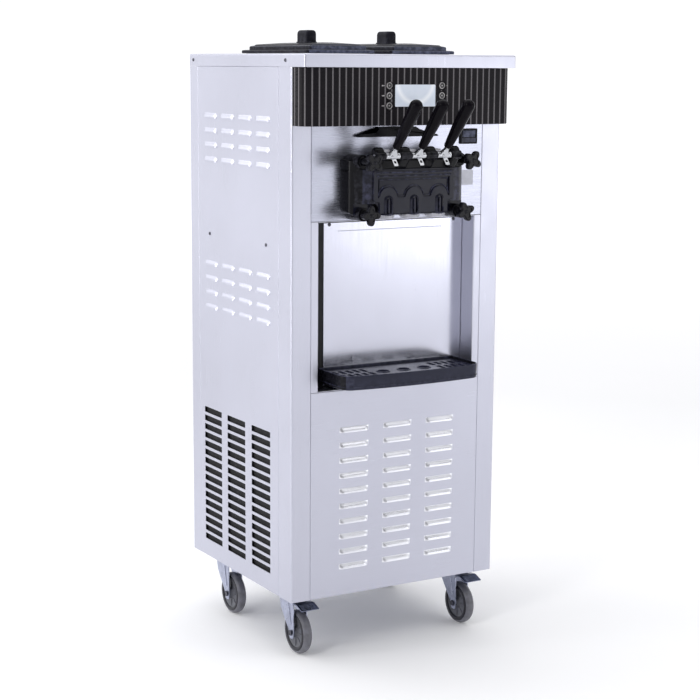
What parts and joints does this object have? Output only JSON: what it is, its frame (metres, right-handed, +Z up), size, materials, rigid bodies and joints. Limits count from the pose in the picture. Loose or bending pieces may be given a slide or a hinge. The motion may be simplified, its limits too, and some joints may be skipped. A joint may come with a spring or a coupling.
{
  "type": "soft serve machine",
  "caption": "Floor-standing soft serve machine: steel cabinet on casters, striped display fascia, draw levers over a dispensing head, hoppers with lids and a drip tray.",
  "frame": {"origin": "on the floor, under the middle of the machine's box", "axes": "+Z up, -Y the front with the levers, +X the machine's right side as its user sees it"},
  "size_m": [0.549, 0.7067, 1.402],
  "materials": {
    "stainless": "brushed stainless sheet",
    "polished_steel": "polished",
    "zinc": "bright zinc plate",
    "black_plastic": "semi-gloss moulded",
    "slate_plastic": "satin moulded",
    "fascia": "printed with fine upright stripes",
    "screen": "lit display window",
    "key": "ringed keys",
    "white_plastic": "food-grade plastic",
    "tyre_rubber": "grey rubber tread on a plastic centre",
    "motor_enamel": "enamelled",
    "fin_aluminium": "mill finish fins"
  },
  "bodies": {
    "cabinet": {"base_pan": "zinc", "front_post_left": "stainless", "front_post_right": "stainless", "rear_shell": "stainless", "left_panel": "stainless", "right_panel": "stainless", "lower_front_panel": "stainless", "upper_front_panel": "stainless", "splash_panel": "stainless", "top_deck": "stainless", "control_housing": "fascia", "display_screen": "screen", "hopper_left": "stainless", "hopper_right": "stainless", "freezing_cylinder_left": "stainless", "freezing_cylinder_right": "stainless", "gear_motor_left": "motor_enamel", "gear_motor_right": "motor_enamel", "compressor": "motor_enamel", "condenser": "fin_aluminium", "fan_motor": "motor_enamel", "control_box": "zinc", "cable_gland": "black_plastic", "dispensing_head": "black_plastic", "lever_pin": "polished_steel"},
    "hopper_lid_left": {"hopper_lid_left": "slate_plastic"},
    "hopper_lid_right": {"hopper_lid_right": "slate_plastic"},
    "key_left_1": {"key_left_1": "key"},
    "key_left_2": {"key_left_2": "key"},
    "key_left_3": {"key_left_3": "key"},
    "key_right_1": {"key_right_1": "key"},
    "key_right_2": {"key_right_2": "key"},
    "draw_lever_left": {"draw_lever_left": "polished_steel", "lever_grip_left": "black_plastic"},
    "draw_piston_left": {"draw_piston_left": "white_plastic"},
    "draw_lever_centre": {"draw_lever_centre": "polished_steel", "lever_grip_centre": "black_plastic"},
    "draw_piston_centre": {"draw_piston_centre": "white_plastic"},
    "draw_lever_right": {"draw_lever_right": "polished_steel", "lever_grip_right": "black_plastic"},
    "draw_piston_right": {"draw_piston_right": "white_plastic"},
    "beater_left": {"beater_left": "polished_steel"},
    "beater_right": {"beater_right": "polished_steel"},
    "condenser_fan": {"condenser_fan": "black_plastic"},
    "hand_knob_top_left": {"hand_knob_top_left": "black_plastic"},
    "hand_knob_top_right": {"hand_knob_top_right": "black_plastic"},
    "hand_knob_bottom_left": {"hand_knob_bottom_left": "black_plastic"},
    "hand_knob_bottom_right": {"hand_knob_bottom_right": "black_plastic"},
    "drip_tray": {"drip_tray": "black_plastic"},
    "drip_grid": {"drip_grid": "black_plastic"},
    "caster_fork_front_left": {"caster_fork_front_left": "zinc"},
    "caster_wheel_front_left": {"caster_wheel_front_left": "tyre_rubber"},
    "brake_pedal_front_left": {"brake_pedal_front_left": "zinc"},
    "caster_fork_front_right": {"caster_fork_front_right": "zinc"},
    "caster_wheel_front_right": {"caster_wheel_front_right": "tyre_rubber"},
    "brake_pedal_front_right": {"brake_pedal_front_right": "zinc"},
    "caster_fork_rear_left": {"caster_fork_rear_left": "zinc"},
    "caster_wheel_rear_left": {"caster_wheel_rear_left": "tyre_rubber"},
    "caster_fork_rear_right": {"caster_fork_rear_right": "zinc"},
    "caster_wheel_rear_right": {"caster_wheel_rear_right": "tyre_rubber"}
  },
  "joints": [
    {"name": "hopper_lid_left_lift", "type": "slide", "parent": "cabinet", "child": "hopper_lid_left", "axis": [0, 0, 1], "range_m": [0, 0.12]},
    {"name": "hopper_lid_right_lift", "type": "slide", "parent": "cabinet", "child": "hopper_lid_right", "axis": [0, 0, 1], "range_m": [0, 0.12]},
    {"name": "key_left_1_press", "type": "slide", "parent": "cabinet", "child": "key_left_1", "axis": [0, 1, 0], "range_m": [0, 0.0008], "stiffness_N_per_m": 800, "springref_m": -0.0012},
    {"name": "key_left_2_press", "type": "slide", "parent": "cabinet", "child": "key_left_2", "axis": [0, 1, 0], "range_m": [0, 0.0008], "stiffness_N_per_m": 800, "springref_m": -0.0012},
    {"name": "key_left_3_press", "type": "slide", "parent": "cabinet", "child": "key_left_3", "axis": [0, 1, 0], "range_m": [0, 0.0008], "stiffness_N_per_m": 800, "springref_m": -0.0012},
    {"name": "key_right_1_press", "type": "slide", "parent": "cabinet", "child": "key_right_1", "axis": [0, 1, 0], "range_m": [0, 0.0008], "stiffness_N_per_m": 800, "springref_m": -0.0012},
    {"name": "key_right_2_press", "type": "slide", "parent": "cabinet", "child": "key_right_2", "axis": [0, 1, 0], "range_m": [0, 0.0008], "stiffness_N_per_m": 800, "springref_m": -0.0012},
    {"name": "draw_lever_left_pull", "type": "hinge", "parent": "cabinet", "child": "draw_lever_left", "pos_m": [-0.066, -0.248, 1.132], "axis": [1, 0, 0], "range_deg": [0, 45]},
    {"name": "draw_piston_left_lift", "type": "slide", "parent": "cabinet", "child": "draw_piston_left", "axis": [0, 0, 1], "range_m": [0, 0.0245]},
    {"name": "draw_lever_centre_pull", "type": "hinge", "parent": "cabinet", "child": "draw_lever_centre", "pos_m": [0, -0.248, 1.132], "axis": [1, 0, 0], "range_deg": [0, 45]},
    {"name": "draw_piston_centre_lift", "type": "slide", "parent": "cabinet", "child": "draw_piston_centre", "axis": [0, 0, 1], "range_m": [0, 0.0245]},
    {"name": "draw_lever_right_pull", "type": "hinge", "parent": "cabinet", "child": "draw_lever_right", "pos_m": [0.066, -0.248, 1.132], "axis": [1, 0, 0], "range_deg": [0, 45]},
    {"name": "draw_piston_right_lift", "type": "slide", "parent": "cabinet", "child": "draw_piston_right", "axis": [0, 0, 1], "range_m": [0, 0.0245]},
    {"name": "beater_left_spin", "type": "hinge", "parent": "cabinet", "child": "beater_left", "pos_m": [-0.066, -0.07, 1.06], "axis": [0, 1, 0], "continuous": true},
    {"name": "beater_right_spin", "type": "hinge", "parent": "cabinet", "child": "beater_right", "pos_m": [0.066, -0.07, 1.06], "axis": [0, 1, 0], "continuous": true},
    {"name": "condenser_fan_spin", "type": "hinge", "parent": "cabinet", "child": "condenser_fan", "pos_m": [0, -0.045, 0.33], "axis": [0, 1, 0], "continuous": true},
    {"name": "hand_knob_top_left_turn", "type": "hinge", "parent": "cabinet", "child": "hand_knob_top_left", "pos_m": [-0.126, -0.26, 1.12], "axis": [0, -1, 0], "continuous": true},
    {"name": "hand_knob_top_right_turn", "type": "hinge", "parent": "cabinet", "child": "hand_knob_top_right", "pos_m": [0.126, -0.26, 1.12], "axis": [0, -1, 0], "continuous": true},
    {"name": "hand_knob_bottom_left_turn", "type": "hinge", "parent": "cabinet", "child": "hand_knob_bottom_left", "pos_m": [-0.122, -0.26, 1.006], "axis": [0, -1, 0], "continuous": true},
    {"name": "hand_knob_bottom_right_turn", "type": "hinge", "parent": "cabinet", "child": "hand_knob_bottom_right", "pos_m": [0.122, -0.26, 1.006], "axis": [0, -1, 0], "continuous": true},
    {"name": "drip_tray_slide", "type": "slide", "parent": "cabinet", "child": "drip_tray", "axis": [0, -1, 0], "range_m": [0, 0.2]},
    {"name": "drip_grid_lift", "type": "slide", "parent": "drip_tray", "child": "drip_grid", "axis": [0, 0, 1], "range_m": [0, 0.1]},
    {"name": "caster_swivel_front_left", "type": "hinge", "parent": "cabinet", "child": "caster_fork_front_left", "pos_m": [-0.221, -0.08, 0.13], "axis": [0, 0, 1], "continuous": true},
    {"name": "caster_wheel_front_left_roll", "type": "hinge", "parent": "caster_fork_front_left", "child": "caster_wheel_front_left", "pos_m": [-0.221, -0.113, 0.05], "axis": [1, 0, 0], "continuous": true},
    {"name": "brake_pedal_front_left_press", "type": "hinge", "parent": "caster_fork_front_left", "child": "brake_pedal_front_left", "pos_m": [-0.221, -0.114, 0.1167], "axis": [1, 0, 0], "range_deg": [0, 10]},
    {"name": "caster_swivel_front_right", "type": "hinge", "parent": "cabinet", "child": "caster_fork_front_right", "pos_m": [0.221, -0.08, 0.13], "axis": [0, 0, 1], "continuous": true},
    {"name": "caster_wheel_front_right_roll", "type": "hinge", "parent": "caster_fork_front_right", "child": "caster_wheel_front_right", "pos_m": [0.221, -0.113, 0.05], "axis": [1, 0, 0], "continuous": true},
    {"name": "brake_pedal_front_right_press", "type": "hinge", "parent": "caster_fork_front_right", "child": "brake_pedal_front_right", "pos_m": [0.221, -0.114, 0.1167], "axis": [1, 0, 0], "range_deg": [0, 10]},
    {"name": "caster_swivel_rear_left", "type": "hinge", "parent": "cabinet", "child": "caster_fork_rear_left", "pos_m": [-0.221, 0.25, 0.13], "axis": [0, 0, 1], "continuous": true},
    {"name": "caster_wheel_rear_left_roll", "type": "hinge", "parent": "caster_fork_rear_left", "child": "caster_wheel_rear_left", "pos_m": [-0.221, 0.217, 0.05], "axis": [1, 0, 0], "continuous": true},
    {"name": "caster_swivel_rear_right", "type": "hinge", "parent": "cabinet", "child": "caster_fork_rear_right", "pos_m": [0.221, 0.25, 0.13], "axis": [0, 0, 1], "continuous": true},
    {"name": "caster_wheel_rear_right_roll", "type": "hinge", "parent": "caster_fork_rear_right", "child": "caster_wheel_rear_right", "pos_m": [0.221, 0.217, 0.05], "axis": [1, 0, 0], "continuous": true}
  ],
  "couplings": [
    {"joint": "draw_piston_left_lift", "follows": "draw_lever_left_pull", "m_per_rad": 0.031},
    {"joint": "draw_piston_centre_lift", "follows": "draw_lever_centre_pull", "m_per_rad": 0.031},
    {"joint": "draw_piston_right_lift", "follows": "draw_lever_right_pull", "m_per_rad": 0.031}
  ]
}
